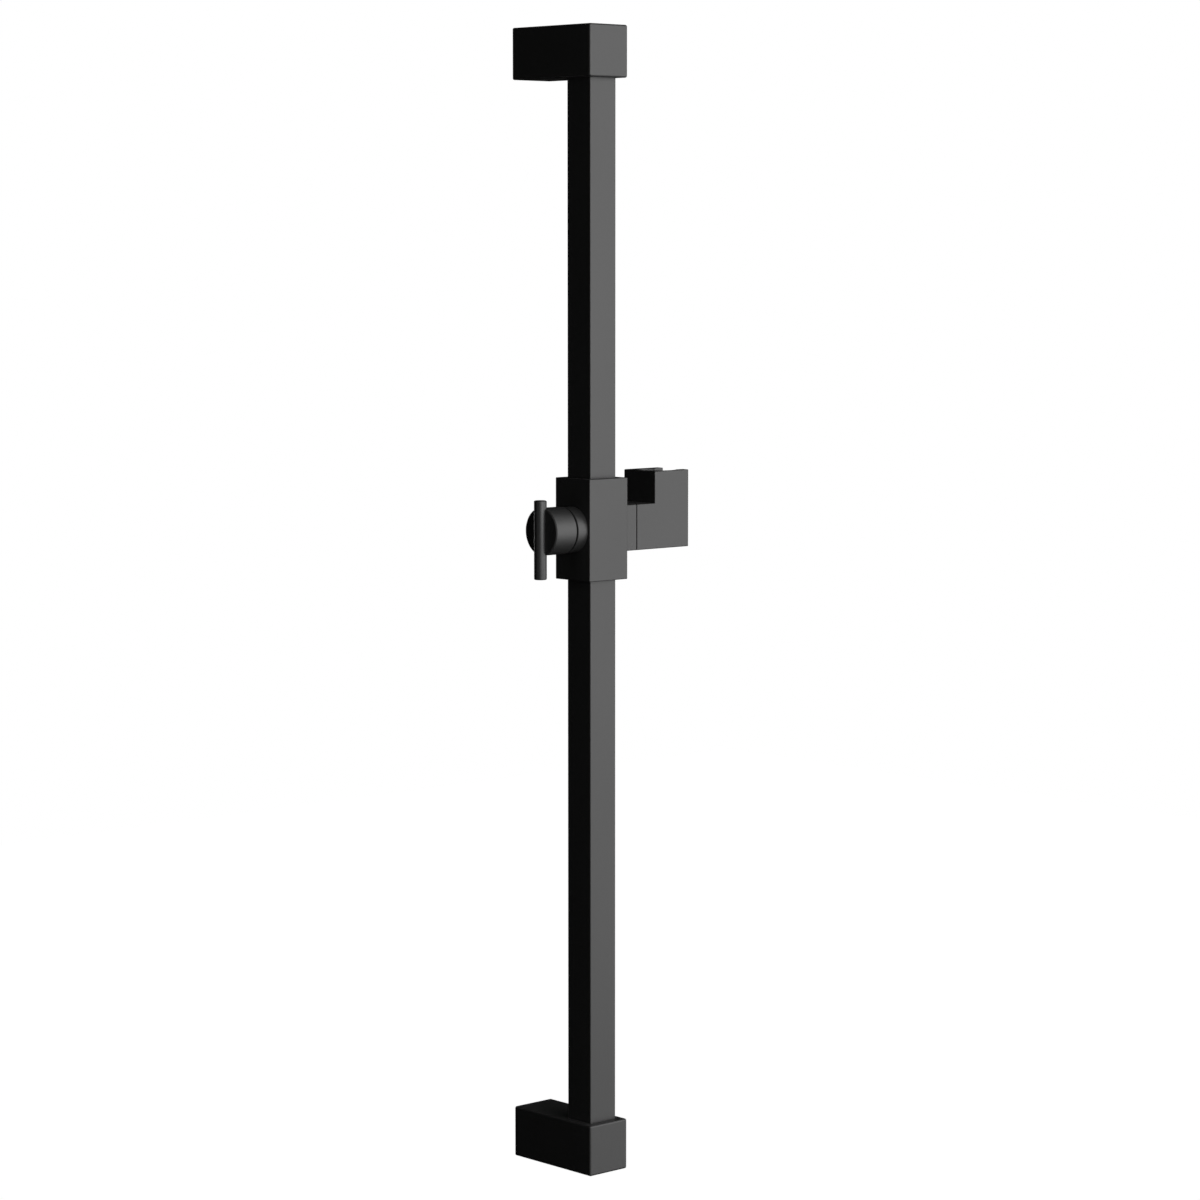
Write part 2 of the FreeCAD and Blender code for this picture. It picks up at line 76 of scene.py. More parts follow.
CAST_NODES = ("upper_bracket", "lower_bracket", "slider_body", "knob_collar",
              "holder_boss", "holder_body")
ZINC_NODES = ("upper_wall_mount", "lower_wall_mount", "upper_rail_plug",
              "lower_rail_plug")
STEEL_NODES = ("retaining_ring", "thrust_washer", "disc_springs")
BRASS_NODES = ("clamp_guide", "clamp_plunger")
NYLON_NODES = ("upper_glide_liner", "lower_glide_liner", "knob_washer",
               "friction_washer", "pivot_bush")


def linear(hex_colour):
    """The linear red, green, blue and alpha of an sRGB hex colour."""
    values = [int(hex_colour[start:start + 2], 16) / 255 for start in (1, 3, 5)]
    return tuple(value / 12.92 if value <= 0.04045 else ((value + 0.055) / 1.055) ** 2.4
                 for value in values) + (1.0,)


def middle(node):
    """Centre of a solid's box."""
    low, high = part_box(node)
    return (low + high) / 2


# Settings

class RailFinish(bpy.types.PropertyGroup):
    """Colours and surface sizes of the finishes."""

    lacquer: FloatVectorProperty(
        name="Lacquer", description="Matt black lacquer on every outer piece",
        subtype="COLOR", size=4, min=0, max=1, default=linear("#272727"))
    lacquer_roughness: FloatProperty(
        name="Lacquer roughness", description="Mean roughness of the lacquer",
        subtype="FACTOR", min=0, max=1, default=0.46)
    peel_width: FloatProperty(
        name="Orange peel width", description="Width of one swell of sprayed lacquer",
        subtype="DISTANCE", unit="LENGTH", min=0.0001, default=1.6 * MM)
    zinc: FloatVectorProperty(
        name="Zinc", description="Die-cast zinc of the wall mounts and tube plugs",
        subtype="COLOR", size=4, min=0, max=1, default=linear("#a7a9aa"))
    steel: FloatVectorProperty(
        name="Stainless steel", description="Turned stainless steel of the screws",
        subtype="COLOR", size=4, min=0, max=1, default=linear("#c4c2bd"))
    brass: FloatVectorProperty(
        name="Brass", description="Turned brass of the clamp",
        subtype="COLOR", size=4, min=0, max=1, default=linear("#d9b56a"))
    nylon: FloatVectorProperty(
        name="Nylon", description="Moulded black nylon of the liners and washers",
        subtype="COLOR", size=4, min=0, max=1, default=linear("#101011"))
    rubber: FloatVectorProperty(
        name="Rubber", description="Pressed rubber of the brake pad",
        subtype="COLOR", size=4, min=0, max=1, default=linear("#1f1f1e"))
    lathe_pitch: FloatProperty(
        name="Lathe pitch", description="Distance between two turning marks",
        subtype="DISTANCE", unit="LENGTH", min=0.00005, default=0.25 * MM)


class RailParts(bpy.types.PropertyGroup):
    """Sizes of the pieces that are built here."""

    lever_edge: FloatProperty(
        name="Lever edge", description="Radius of the rounding at the lever's ends",
        subtype="DISTANCE", unit="LENGTH", min=0, default=0.8 * MM)
    pad_ribs: IntProperty(
        name="Pad ribs", description="Number of ribs across the brake pad",
        min=2, default=6)
    pad_groove: FloatProperty(
        name="Pad groove", description="Depth of the grooves between the pad's ribs",
        subtype="DISTANCE", unit="LENGTH", min=0, default=0.7 * MM)
    thread_steps: IntProperty(
        name="Thread steps", description="Straight runs in one turn of a thread",
        min=8, default=32)


class RailStudio(bpy.types.PropertyGroup):
    """Camera, lamps and floor."""

    camera_place: FloatVectorProperty(
        name="Camera", description="Place of the camera", subtype="TRANSLATION",
        unit="LENGTH", size=3, default=(-1.444264, -1.645564, 0.218465))
    camera_turn: FloatVectorProperty(
        name="Camera turn", description="Turn of the camera", subtype="EULER", size=3,
        default=(math.radians(84.2826), 0.0, math.radians(-42.35013)))
    camera_lens: FloatProperty(
        name="Lens", description="Focal length on a 36 mm wide frame",
        subtype="DISTANCE_CAMERA", unit="CAMERA", min=1, default=107.88)
    key_power: FloatProperty(
        name="Key lamp", description="Power of the softbox at the front right",
        subtype="POWER", unit="POWER", min=0, default=24.0)
    front_power: FloatProperty(
        name="Front lamp", description="Power of the softbox in front",
        subtype="POWER", unit="POWER", min=0, default=38.0)
    back_power: FloatProperty(
        name="Back lamp", description="Power of the narrow softbox behind",
        subtype="POWER", unit="POWER", min=0, default=1.5)
    left_power: FloatProperty(
        name="Left lamp", description="Power of the weak softbox at the left",
        subtype="POWER", unit="POWER", min=0, default=0.8)
    world_strength: FloatProperty(
        name="World light", description="Strength of the light from all round",
        min=0, default=0.04)
    floor_height: FloatProperty(
        name="Floor height", description="Height of the floor, from the rail's middle",
        subtype="DISTANCE", unit="LENGTH", default=-1.7)


# Shaders

def add(tree, kind, settings=None, links=None):
    """Add a node, set its properties and its sockets' values, and link its inputs."""
    node = tree.nodes.new(kind)
    for name, value in (settings or {}).items():
        if isinstance(name, str) and hasattr(node, name):
            setattr(node, name, value)
        else:
            node.inputs[name].default_value = value
    for name, source in (links or {}).items():
        tree.links.new(source, node.inputs[name])
    return node


def shade(colour, share):
    """A colour at that share of its brightness, opaque."""
    return (*(Vector(colour[:3]) * share), 1)


def new_material(name):
    """Empty material, its node tree and the Object coordinates in it."""
    material = bpy.data.materials.new(name)
    material.use_nodes = True
    tree = material.node_tree
    tree.nodes.clear()
    place = add(tree, "ShaderNodeTexCoord").outputs["Object"]
    return material, tree, place


def finish_material(material, tree, settings, links):
    """Close a material with one Principled shader."""
    viewport_grey = (0.05, 0.05, 0.05, 1)
    shader = add(tree, "ShaderNodeBsdfPrincipled", settings, links)
    add(tree, "ShaderNodeOutputMaterial", links={"Surface": shader.outputs[0]})
    material.diffuse_color = settings.get("Base Color", viewport_grey)
    return material


def material_for(name, make, *settings):
    """The material of that name, made when it is first asked for."""
    return bpy.data.materials.get(name) or make(name, *settings)


def coat(nodes, material):
    """Give every slot of some solids one material."""
    for node in nodes:
        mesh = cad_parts[node].data
        if not mesh.materials:
            mesh.materials.append(material)
        for index in range(len(mesh.materials)):
            mesh.materials[index] = material


def lacquer_material(name, stretch):
    """Matt black lacquer, sprayed and baked: near black, with a soft even sheen, fine
    orange peel and a slight drift of gloss. Its grit is drawn coarser than the real one,
    so that it shows. stretch draws the pattern out along one axis, where the metal below
    was drawn or turned."""
    finish = bpy.context.scene.rail_finish
    drift_width = 28 * MM
    grit_width = 0.35 * MM
    gloss_swing = 0.025
    material, tree, place = new_material(name)
    drawn = add(tree, "ShaderNodeMapping", {"Scale": stretch},
                {"Vector": place}).outputs["Vector"]
    drift = add(tree, "ShaderNodeTexNoise", {"Scale": 1 / drift_width, "Detail": 2.0},
                {"Vector": drawn}).outputs["Fac"]
    peel = add(tree, "ShaderNodeTexNoise",
               {"Scale": 1 / finish.peel_width, "Detail": 2.0, "Roughness": 0.4},
               {"Vector": drawn}).outputs["Fac"]
    grit = add(tree, "ShaderNodeTexNoise", {"Scale": 1 / grit_width, "Detail": 1.0},
               {"Vector": drawn}).outputs["Fac"]
    colours = add(tree, "ShaderNodeMix",
                  {"data_type": "RGBA", FIRST_COLOUR: shade(finish.lacquer, 0.93),
                   SECOND_COLOUR: shade(finish.lacquer, 1.07)}, {"Factor": drift})
    rough = add(tree, "ShaderNodeMapRange",
                {"To Min": finish.lacquer_roughness - gloss_swing,
                 "To Max": finish.lacquer_roughness + gloss_swing}, {"Value": drift})
    peel_bump = add(tree, "ShaderNodeBump", {"Strength": 0.12, "Distance": 0.05 * MM},
                    {"Height": peel})
    grit_bump = add(tree, "ShaderNodeBump", {"Strength": 0.08, "Distance": 0.02 * MM},
                    {"Height": grit, "Normal": peel_bump.outputs["Normal"]})
    return finish_material(
        material, tree, {"Metallic": 0.0, "IOR": 1.5},
        {"Base Color": colours.outputs[MIXED_COLOUR],
         "Roughness": rough.outputs["Result"], "Normal": grit_bump.outputs["Normal"]})


def zinc_material(name):
    """Die-cast zinc, as it leaves the mould: dull grey with faint flow marks."""
    finish = bpy.context.scene.rail_finish
    flow_width = 4 * MM
    grain_width = 0.5 * MM
    material, tree, place = new_material(name)
    flow = add(tree, "ShaderNodeTexNoise",
               {"Scale": 1 / flow_width, "Detail": 3.0, "Distortion": 1.2},
               {"Vector": place}).outputs["Fac"]
    grain = add(tree, "ShaderNodeTexNoise", {"Scale": 1 / grain_width, "Detail": 2.0},
                {"Vector": place}).outputs["Fac"]
    colours = add(tree, "ShaderNodeMix",
                  {"data_type": "RGBA", FIRST_COLOUR: shade(finish.zinc, 0.86),
                   SECOND_COLOUR: shade(finish.zinc, 1.08)}, {"Factor": flow})
    rough = add(tree, "ShaderNodeMapRange", {"To Min": 0.42, "To Max": 0.58},
                {"Value": flow})
    bump = add(tree, "ShaderNodeBump", {"Strength": 0.2, "Distance": 0.06 * MM},
               {"Height": grain})
    return finish_material(
        material, tree, {"Metallic": 1.0},
        {"Base Color": colours.outputs[MIXED_COLOUR],
         "Roughness": rough.outputs["Result"], "Normal": bump.outputs["Normal"]})


def turned_material(name, colour, roughness):
    """Turned metal: bright, with the tool's fine marks one after another along X, the
    axis of the clamp and the pivot. Real marks lie about 0.1 mm apart, and these are
    drawn coarser, so that they show."""
    finish = bpy.context.scene.rail_finish
    tone_width = 3 * MM
    # Radians that a Wave node of scale 1 runs through in a metre.
    wave_rate = 20
    material, tree, place = new_material(name)
    marks = add(tree, "ShaderNodeTexWave",
                {"bands_direction": "X", "Distortion": 0.6, "Detail": 1.0,
                 "Scale": 2 * math.pi / (wave_rate * finish.lathe_pitch)},
                {"Vector": place}).outputs["Fac"]
    tone = add(tree, "ShaderNodeTexNoise", {"Scale": 1 / tone_width, "Detail": 2.0},
               {"Vector": place}).outputs["Fac"]
    colours = add(tree, "ShaderNodeMix",
                  {"data_type": "RGBA", FIRST_COLOUR: shade(colour, 0.9),
                   SECOND_COLOUR: shade(colour, 1.05)}, {"Factor": tone})
    rough = add(tree, "ShaderNodeMapRange",
                {"To Min": roughness - 0.04, "To Max": roughness + 0.06},
                {"Value": tone})
    bump = add(tree, "ShaderNodeBump", {"Strength": 0.15, "Distance": 0.02 * MM},
               {"Height": marks})
    return finish_material(
        material, tree, {"Metallic": 1.0},
        {"Base Color": colours.outputs[MIXED_COLOUR],
         "Roughness": rough.outputs["Result"], "Normal": bump.outputs["Normal"]})


def nylon_material(name):
    """Moulded black nylon: dark, with the fine spark texture of its mould, which is
    drawn coarser than the real one, so that it shows."""
    finish = bpy.context.scene.rail_finish
    spark_width = 0.3 * MM
    material, tree, place = new_material(name)
    spark = add(tree, "ShaderNodeTexNoise", {"Scale": 1 / spark_width, "Detail": 2.0},
                {"Vector": place}).outputs["Fac"]
    rough = add(tree, "ShaderNodeMapRange", {"To Min": 0.48, "To Max": 0.62},
                {"Value": spark})
    bump = add(tree, "ShaderNodeBump", {"Strength": 0.25, "Distance": 0.03 * MM},
               {"Height": spark})
    return finish_material(
        material, tree,
        {"Base Color": tuple(finish.nylon), "Metallic": 0.0, "IOR": 1.53},
        {"Roughness": rough.outputs["Result"], "Normal": bump.outputs["Normal"]})


def rubber_material(name):
    """Pressed nitrile rubber: dull black with a dusty, slightly uneven skin."""
    finish = bpy.context.scene.rail_finish
    dust_width = 0.8 * MM
    material, tree, place = new_material(name)
    dust = add(tree, "ShaderNodeTexNoise", {"Scale": 1 / dust_width, "Detail": 4.0},
               {"Vector": place}).outputs["Fac"]
    colours = add(tree, "ShaderNodeMix",
                  {"data_type": "RGBA", FIRST_COLOUR: shade(finish.rubber, 0.8),
                   SECOND_COLOUR: shade(finish.rubber, 1.5)}, {"Factor": dust})
    bump = add(tree, "ShaderNodeBump", {"Strength": 0.3, "Distance": 0.04 * MM},
               {"Height": dust})
    return finish_material(
        material, tree, {"Metallic": 0.0, "IOR": 1.52, "Roughness": 0.78},
        {"Base Color": colours.outputs[MIXED_COLOUR], "Normal": bump.outputs["Normal"]})


def steel():
    """Stainless steel of the screws, rings and springs."""
    finish = bpy.context.scene.rail_finish
    return material_for("turned_stainless_steel", turned_material, finish.steel, 0.3)


def brass():
    """Brass of the clamp."""
    finish = bpy.context.scene.rail_finish
    return material_for("turned_brass", turned_material, finish.brass, 0.26)


def turned_lacquer():
    """Lacquer over turned brass, on the knob and the lever."""
    return material_for("matt_black_lacquer_on_turned_brass", lacquer_material,
                        (0.6, 1.0, 1.0))


# Meshes

def new_piece(name, mesh, body, nodes, material):
    """Link a finished mesh as a piece that stands for the given solids."""
    mesh.name = name
    piece = bpy.data.objects.new(name, mesh)
    bpy.context.scene.collection.objects.link(piece)
    mesh.materials.clear()
    mesh.materials.append(material)
    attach(piece, body)
    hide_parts(*nodes)


def lathe_rows(rows, sides=48):
    """Closed mesh turned round Z. Each row is (height, radius, across_flats): a row
    with across_flats is a hexagon, and a radius of 0 closes an end in a pole."""
    shape = bmesh.new()
    side_turn = math.pi / 3
    loops = []
    for height, radius, flats in rows:
        if radius == 0 and not flats:
            loops.append([shape.verts.new((0, 0, height))])
            continue
        loop = []
        for step in range(sides):
            angle = 2 * math.pi * step / sides
            reach = radius
            if flats:
                reach = flats / 2 / math.cos((angle % side_turn) - side_turn / 2)
            loop.append(shape.verts.new((reach * math.cos(angle),
                                         reach * math.sin(angle), height)))
        loops.append(loop)
    for low, high in zip(loops, loops[1:]):
        for step in range(sides):
            after = (step + 1) % sides
            corners = [low[step % len(low)], low[after % len(low)],
                       high[after % len(high)], high[step % len(high)]]
            shape.faces.new(dict.fromkeys(corners))
    bmesh.ops.recalc_face_normals(shape, faces=shape.faces)
    mesh = bpy.data.meshes.new("turned")
    shape.to_mesh(mesh)
    shape.free()
    return mesh


def smooth_by_angle(mesh, degrees=32):
    """Shade round where faces meet at a small angle, and sharp elsewhere."""
    shape = bmesh.new()
    shape.from_mesh(mesh)
    limit = math.radians(degrees)
    for edge in shape.edges:
        edge.smooth = edge.is_manifold and edge.calc_face_angle(0) < limit
    for face in shape.faces:
        face.smooth = True
    shape.to_mesh(mesh)
    shape.free()


def new_tree(name, values):
    """Node tree that takes a mesh and the named values and gives a mesh back, and the
    outputs of its Group Input."""
    tree = bpy.data.node_groups.new(name, "GeometryNodeTree")
    for label, kind in (("Geometry", "Geometry"),) + values:
        tree.interface.new_socket(label, in_out="INPUT",
                                  socket_type="NodeSocket" + kind)
    tree.interface.new_socket("Geometry", in_out="OUTPUT",
                              socket_type="NodeSocketGeometry")
    return tree, add(tree, "NodeGroupInput").outputs


def copies(tree, given, piece, **turned):
    """A piece at each place of the straight row that a tree is given, and turned as a
    link to Rotation says."""
    places = add(tree, "GeometryNodeMeshLine", None,
                 {"Count": given["Count"], "Start Location": given["First place"],
                  "Offset": given["Spacing"]}).outputs[0]
    return add(tree, "GeometryNodeInstanceOnPoints", None,
               {"Points": places, "Instance": piece, **turned}).outputs[0]


def close_tree(tree, given, geometry):
    """Make a tree's copies real, paint them and give them out."""
    real = add(tree, "GeometryNodeRealizeInstances", None,
               {"Geometry": geometry}).outputs[0]
    painted = add(tree, "GeometryNodeSetMaterial", None,
                  {"Geometry": real, "Material": given["Material"]}).outputs[0]
    add(tree, "NodeGroupOutput", None, {0: painted})


def thread_tree():
    """Node tree that winds a thread on the screw it is given and repeats the screw."""
    tree = bpy.data.node_groups.get("wound_thread")
    if tree:
        return tree
    tree, given = new_tree("wound_thread", (
        ("Thread radius", "Float"), ("Thread tooth", "Float"), ("Thread start", "Float"),
        ("Thread length", "Float"), ("Turns", "Float"), ("Steps", "Int"),
        ("Count", "Int"), ("First place", "Vector"), ("Spacing", "Vector"),
        ("Rotation", "Rotation"), ("Material", "Material")))
    helix_radius = add(tree, "ShaderNodeMath", {"operation": "SUBTRACT"},
                       {0: given["Thread radius"], 1: given["Thread tooth"]}).outputs[0]
    drop = add(tree, "ShaderNodeMath", {"operation": "MULTIPLY", 1: -1.0},
               {0: given["Thread length"]}).outputs[0]
    helix = add(tree, "GeometryNodeCurveSpiral", None,
                {"Resolution": given["Steps"], "Rotations": given["Turns"],
                 "Start Radius": helix_radius, "End Radius": helix_radius,
                 "Height": drop}).outputs[0]
    upright = add(tree, "GeometryNodeSetCurveNormal", {"mode": "Z_UP"},
                  {"Curve": helix}).outputs[0]
    tooth = add(tree, "GeometryNodeCurvePrimitiveCircle", {"Resolution": 3},
                {"Radius": given["Thread tooth"]}).outputs[0]
    outwards = add(tree, "GeometryNodeTransform", {"Rotation": (0, 0, math.pi)},
                   {"Geometry": tooth}).outputs[0]
    ridge = add(tree, "GeometryNodeCurveToMesh", {"Fill Caps": True},
                {"Curve": upright, "Profile Curve": outwards}).outputs[0]
    start = add(tree, "ShaderNodeCombineXYZ", None,
                {"Z": given["Thread start"]}).outputs[0]
    moved = add(tree, "GeometryNodeTransform", None,
                {"Geometry": ridge, "Translation": start}).outputs[0]
    sharp_bend = math.radians(40)
    bend = add(tree, "GeometryNodeInputMeshEdgeAngle").outputs["Unsigned Angle"]
    crest = add(tree, "FunctionNodeCompare",
                {"operation": "GREATER_THAN", "B": sharp_bend}, {"A": bend}).outputs[0]
    sharp = add(tree, "GeometryNodeSetShadeSmooth",
                {"domain": "EDGE", "Shade Smooth": False},
                {"Geometry": moved, "Selection": crest}).outputs[0]
    screw = add(tree, "GeometryNodeJoinGeometry")
    tree.links.new(sharp, screw.inputs[0])
    tree.links.new(given["Geometry"], screw.inputs[0])
    close_tree(tree, given, copies(tree, given, screw.outputs[0],
                                   Rotation=given["Rotation"]))
    return tree


def rib_tree():
    """Node tree that repeats a rib on the pad's back plate."""
    tree = bpy.data.node_groups.get("ribs_on_plate")
    if tree:
        return tree
    tree, given = new_tree("ribs_on_plate", (
        ("Rib radius", "Float"), ("Rib length", "Float"), ("Count", "Int"),
        ("First place", "Vector"), ("Spacing", "Vector"), ("Material", "Material")))
    bar = add(tree, "GeometryNodeMeshCylinder",
              {"Vertices": 20, "fill_type": "TRIANGLE_FAN"},
              {"Radius": given["Rib radius"], "Depth": given["Rib length"]}).outputs[0]
    laid = add(tree, "GeometryNodeTransform", {"Rotation": (math.pi / 2, 0, 0)},
               {"Geometry": bar}).outputs[0]
    pad = add(tree, "GeometryNodeJoinGeometry")
    tree.links.new(copies(tree, given, laid), pad.inputs[0])
    tree.links.new(given["Geometry"], pad.inputs[0])
    close_tree(tree, given, pad.outputs[0])
    return tree


def grown(mesh, tree, values):
    """The mesh that a node tree makes from a start mesh, as a plain mesh."""
    start = bpy.data.objects.new("start", mesh)
    bpy.context.scene.collection.objects.link(start)
    modifier = start.modifiers.new("grow", "NODES")
    modifier.node_group = tree
    for socket in tree.interface.items_tree:
        if socket.in_out == "INPUT" and socket.name in values:
            modifier[socket.identifier] = values[socket.name]
    bpy.context.view_layer.update()
    evaluated = start.evaluated_get(bpy.context.evaluated_depsgraph_get())
    result = bpy.data.meshes.new_from_object(evaluated)
    start.modifiers.remove(modifier)
    bpy.data.objects.remove(start)
    return result


# Screws. Each is built upright, with the top of its head at height 0 and its tip below.

class Thread:
    """Metric thread: its outer radius, its pitch, and what follows from the pitch."""

    def __init__(self, radius, pitch):
        self.radius = radius
        self.pitch = pitch
        self.core = radius - THREAD_DEPTH * pitch
        self.tooth = TOOTH_REACH * pitch


def socket_rows(flats, depth, head_radius, edge):
    """Rows of a hexagon socket from its floor up, and of the head's top with a rim
    rounded by edge. A narrow ring inside the rim keeps the top flat."""
    chamfer = 0.15 * MM
    ring = 0.1 * MM
    drill_point = 0.12 * flats
    arc = [math.radians(degrees) for degrees in (0, 30, 60, 90)]
    rim = [(edge * (math.cos(a) - 1), head_radius - edge * (1 - math.sin(a)), 0)
           for a in arc]
    return [(-depth - drill_point, 0, 0), (-depth, 0, flats), (-chamfer, 0, flats),
            (0, 0, flats + 2 * chamfer), (0, head_radius - edge - ring, 0)] + rim


def shank_rows(thread, start, end, point):
    """Rows of a shank that carries a thread, from start down to an end with a bevel as
    deep as point."""
    return [(start, thread.core, 0), (end + point, thread.core, 0),
            (end, thread.core - point, 0), (end, 0, 0)]


def threaded(rows, thread, axis, places, material, start, end):
    """Screw mesh: the rows turned and a thread wound on them from start down to end,
    with the head towards axis, at each of its one or two places."""
    blank = lathe_rows(rows)
    smooth_by_angle(blank)
    length = start - end
    return grown(blank, thread_tree(), {
        "Thread radius": thread.radius, "Thread tooth": thread.tooth,
        "Thread start": start, "Thread length": length, "Turns": length / thread.pitch,
        "Steps": bpy.context.scene.rail_parts.thread_steps, "Count": len(places),
        "First place": places[0], "Spacing": places[-1] - places[0],
        "Rotation": UP.rotation_difference(axis).to_euler(), "Material": material})


def countersunk_pair(node, axis, thread, head, flats, depth):
    """Two countersunk screws at the lower and the upper end of a solid's box, with
    heads of that height towards axis."""
    low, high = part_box(node)
    head_radius = (high.y - low.y) / 2
    length = high.x - low.x
    rows = socket_rows(flats, depth, head_radius, edge=0.1 * MM)
    rows += shank_rows(thread, -head, -length, point=0.3 * MM)
    face = high.x if axis.x > 0 else low.x
    across = (low.y + high.y) / 2
    places = [Vector((face, across, low.z + head_radius)),
              Vector((face, across, high.z - head_radius))]
    return threaded(rows, thread, axis, places, steel(), start=-head - 0.2 * MM,
                    end=-length + 0.6 * MM)


# Operators

class RAIL_OT_coat_castings(bpy.types.Operator):
    """Matt black lacquer on the brackets, the slider and the holder"""
    bl_idname = "rail.coat_castings"
    bl_label = "Coat the castings"

    def execute(self, context):
        coat(CAST_NODES, material_for("matt_black_lacquer_on_cast_zinc",
                                      lacquer_material, (1.0, 1.0, 1.0)))
        return {"FINISHED"}


class RAIL_OT_coat_tube(bpy.types.Operator):
    """Matt black lacquer on the drawn square tube, with its peel drawn out lengthwise"""
    bl_idname = "rail.coat_tube"
    bl_label = "Coat the tube"

    def execute(self, context):
        coat(["rail_tube"], material_for("matt_black_lacquer_on_drawn_tube",
                                         lacquer_material, (1.0, 1.0, 0.35)))
        return {"FINISHED"}


class RAIL_OT_coat_knob(bpy.types.Operator):
    """Matt black lacquer on the turned knob"""
    bl_idname = "rail.coat_knob"
    bl_label = "Coat the knob"

    def execute(self, context):
        coat(["knob_head"], turned_lacquer())
        return {"FINISHED"}


class RAIL_OT_turn_lever(bpy.types.Operator):
    """Lever rod with rounded ends, in place of the chamfered one"""
    bl_idname = "rail.turn_lever"
    bl_label = "Turn the lever"

    def execute(self, context):
        edge = context.scene.rail_parts.lever_edge
        low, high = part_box("lever_rod")
        centre = middle("lever_rod")
        radius = (high.x - low.x) / 2
        length = high.z - low.z
        arc = [math.radians(degrees) for degrees in range(0, 91, 15)]
        bottom = [(edge * (1 - math.sin(a)), radius - edge * (1 - math.cos(a)), 0)
                  for a in reversed(arc)]
        top = [(length - height, reach, 0) for height, reach, _ in reversed(bottom)]
        mesh = lathe_rows([(0, 0, 0)] + bottom + top + [(length, 0, 0)], sides=64)
        smooth_by_angle(mesh)
        mesh.transform(Matrix.Translation((centre.x, centre.y, low.z)))
        new_piece("lever", mesh, "knob", ["lever_rod"],
                  turned_lacquer())
        return {"FINISHED"}


class RAIL_OT_finish_zinc(bpy.types.Operator):
    """Bare die-cast zinc on the wall mounts and the tube's plugs"""
    bl_idname = "rail.finish_zinc"
    bl_label = "Finish the zinc"

    def execute(self, context):
        coat(ZINC_NODES, material_for("die_cast_zinc", zinc_material))
        return {"FINISHED"}


class RAIL_OT_finish_metal(bpy.types.Operator):
    """Steel on the rings, washers and springs, and brass on the clamp"""
    bl_idname = "rail.finish_metal"
    bl_label = "Finish the small metal"

    def execute(self, context):
        coat(STEEL_NODES, steel())
        coat(BRASS_NODES, brass())
        return {"FINISHED"}


class RAIL_OT_finish_nylon(bpy.types.Operator):
    """Moulded nylon on the glide liners, the washers and the bush"""
    bl_idname = "rail.finish_nylon"
    bl_label = "Finish the nylon"

    def execute(self, context):
        coat(NYLON_NODES, material_for("moulded_black_nylon", nylon_material))
        return {"FINISHED"}


class RAIL_OT_thread_grub_screws(bpy.types.Operator):
    """Two M5 set screws with hexagon sockets, under the brackets"""
    bl_idname = "rail.thread_grub_screws"
    bl_label = "Thread the grub screws"

    def execute(self, context):
        nodes = ["upper_grub_screw", "lower_grub_screw"]
        low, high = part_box(nodes[0])
        length = high.z - low.z
        thread = Thread(radius=(high.x - low.x) / 2, pitch=0.8 * MM)
        cone = 0.8 * MM
        rows = socket_rows(flats=2.5 * MM, depth=2.4 * MM, head_radius=thread.core,
                           edge=0.1 * MM)
        rows += [(-length + cone, thread.core, 0), (-length, 0, 0)]
        places = [Vector((middle(node).x, middle(node).y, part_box(node)[0].z))
                  for node in nodes]
        mesh = threaded(rows, thread, DOWN, places, steel(), start=-0.5 * MM,
                        end=-length + 1.2 * MM)
        new_piece("grub_screws", mesh, "rail", nodes, steel())
        return {"FINISHED"}


class RAIL_OT_thread_rail_screws(bpy.types.Operator):
    """Two M4 cap screws that hold the tube's ends in the brackets"""
    bl_idname = "rail.thread_rail_screws"
    bl_label = "Thread the rail screws"

    def execute(self, context):
        nodes = ["upper_rail_screw", "lower_rail_screw"]
        low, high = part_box(nodes[0])
        head_radius = (high.x - low.x) / 2
        head = 4.0 * MM
        length = high.y - low.y
        thread = Thread(radius=2.0 * MM, pitch=0.7 * MM)
        rows = socket_rows(flats=3.0 * MM, depth=1.8 * MM, head_radius=head_radius,
                           edge=0.35 * MM)
        rows += [(-head, head_radius, 0)]
        rows += shank_rows(thread, -head, -length, point=0.4 * MM)
        places = [Vector((middle(node).x, high.y, middle(node).z)) for node in nodes]
        mesh = threaded(rows, thread, TO_WALL, places, steel(), start=-head - 0.4 * MM,
                        end=-length + 0.6 * MM)
        new_piece("rail_screws", mesh, "rail", nodes, steel())
        return {"FINISHED"}


class RAIL_OT_thread_boss_screws(bpy.types.Operator):
    """Two M3 countersunk screws that hold the holder's boss on the slider"""
    bl_idname = "rail.thread_boss_screws"
    bl_label = "Thread the boss screws"

    def execute(self, context):
        thread = Thread(radius=1.5 * MM, pitch=0.5 * MM)
        mesh = countersunk_pair("boss_screws", LEFT, thread, head=1.6 * MM,
                                flats=2.0 * MM, depth=1.0 * MM)
        new_piece("countersunk_boss_screws", mesh, "slider",
                  ["boss_screws"], steel())
        return {"FINISHED"}


class RAIL_OT_thread_rod_screws(bpy.types.Operator):
    """Two M2.5 countersunk screws that hold the lever in the knob"""
    bl_idname = "rail.thread_rod_screws"
    bl_label = "Thread the lever's screws"

    def execute(self, context):
        thread = Thread(radius=1.25 * MM, pitch=0.45 * MM)
        mesh = countersunk_pair("rod_screws", RIGHT, thread, head=1.15 * MM,
                                flats=1.5 * MM, depth=0.8 * MM)
        new_piece("countersunk_lever_screws", mesh, "knob",
                  ["rod_screws"], steel())
        return {"FINISHED"}


